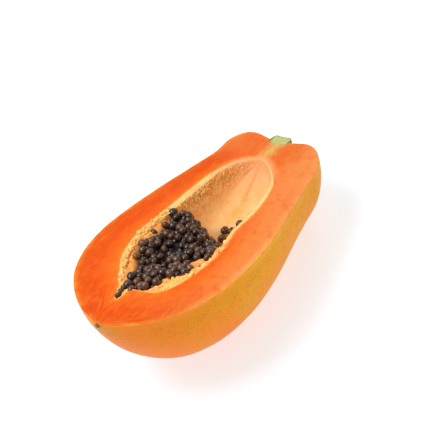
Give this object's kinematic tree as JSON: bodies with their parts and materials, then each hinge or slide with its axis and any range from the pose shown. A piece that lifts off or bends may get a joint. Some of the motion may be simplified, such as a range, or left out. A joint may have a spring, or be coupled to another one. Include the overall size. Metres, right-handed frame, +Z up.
{
  "type": "papaya half",
  "caption": "Ripe papaya cut lengthwise in half: pear-shaped, orange flesh, a deep hollow with a heap of round black seeds, and a halved stalk stub.",
  "frame": {"origin": "middle of the small flat spot on the rounded back that the half rests on", "axes": "+Z up, +X towards the stalk end, +Y towards the left edge of the cut face as seen from above with the stalk end ahead; the cut face leans 9.4 degrees down towards +X"},
  "size_m": [0.2002, 0.1272, 0.0787],
  "materials": {
    "flesh": "moist satin",
    "stalk": "dull",
    "seed": "wet gloss"
  },
  "bodies": {
    "root": {"fruit_half": "flesh", "stalk_stub": "stalk", "seed_heap": "seed", "stray_seed_1": "seed", "stray_seed_2": "seed", "stray_seed_3": "seed", "stray_seed_4": "seed", "stray_seed_5": "seed"}
  },
  "joints": []
}
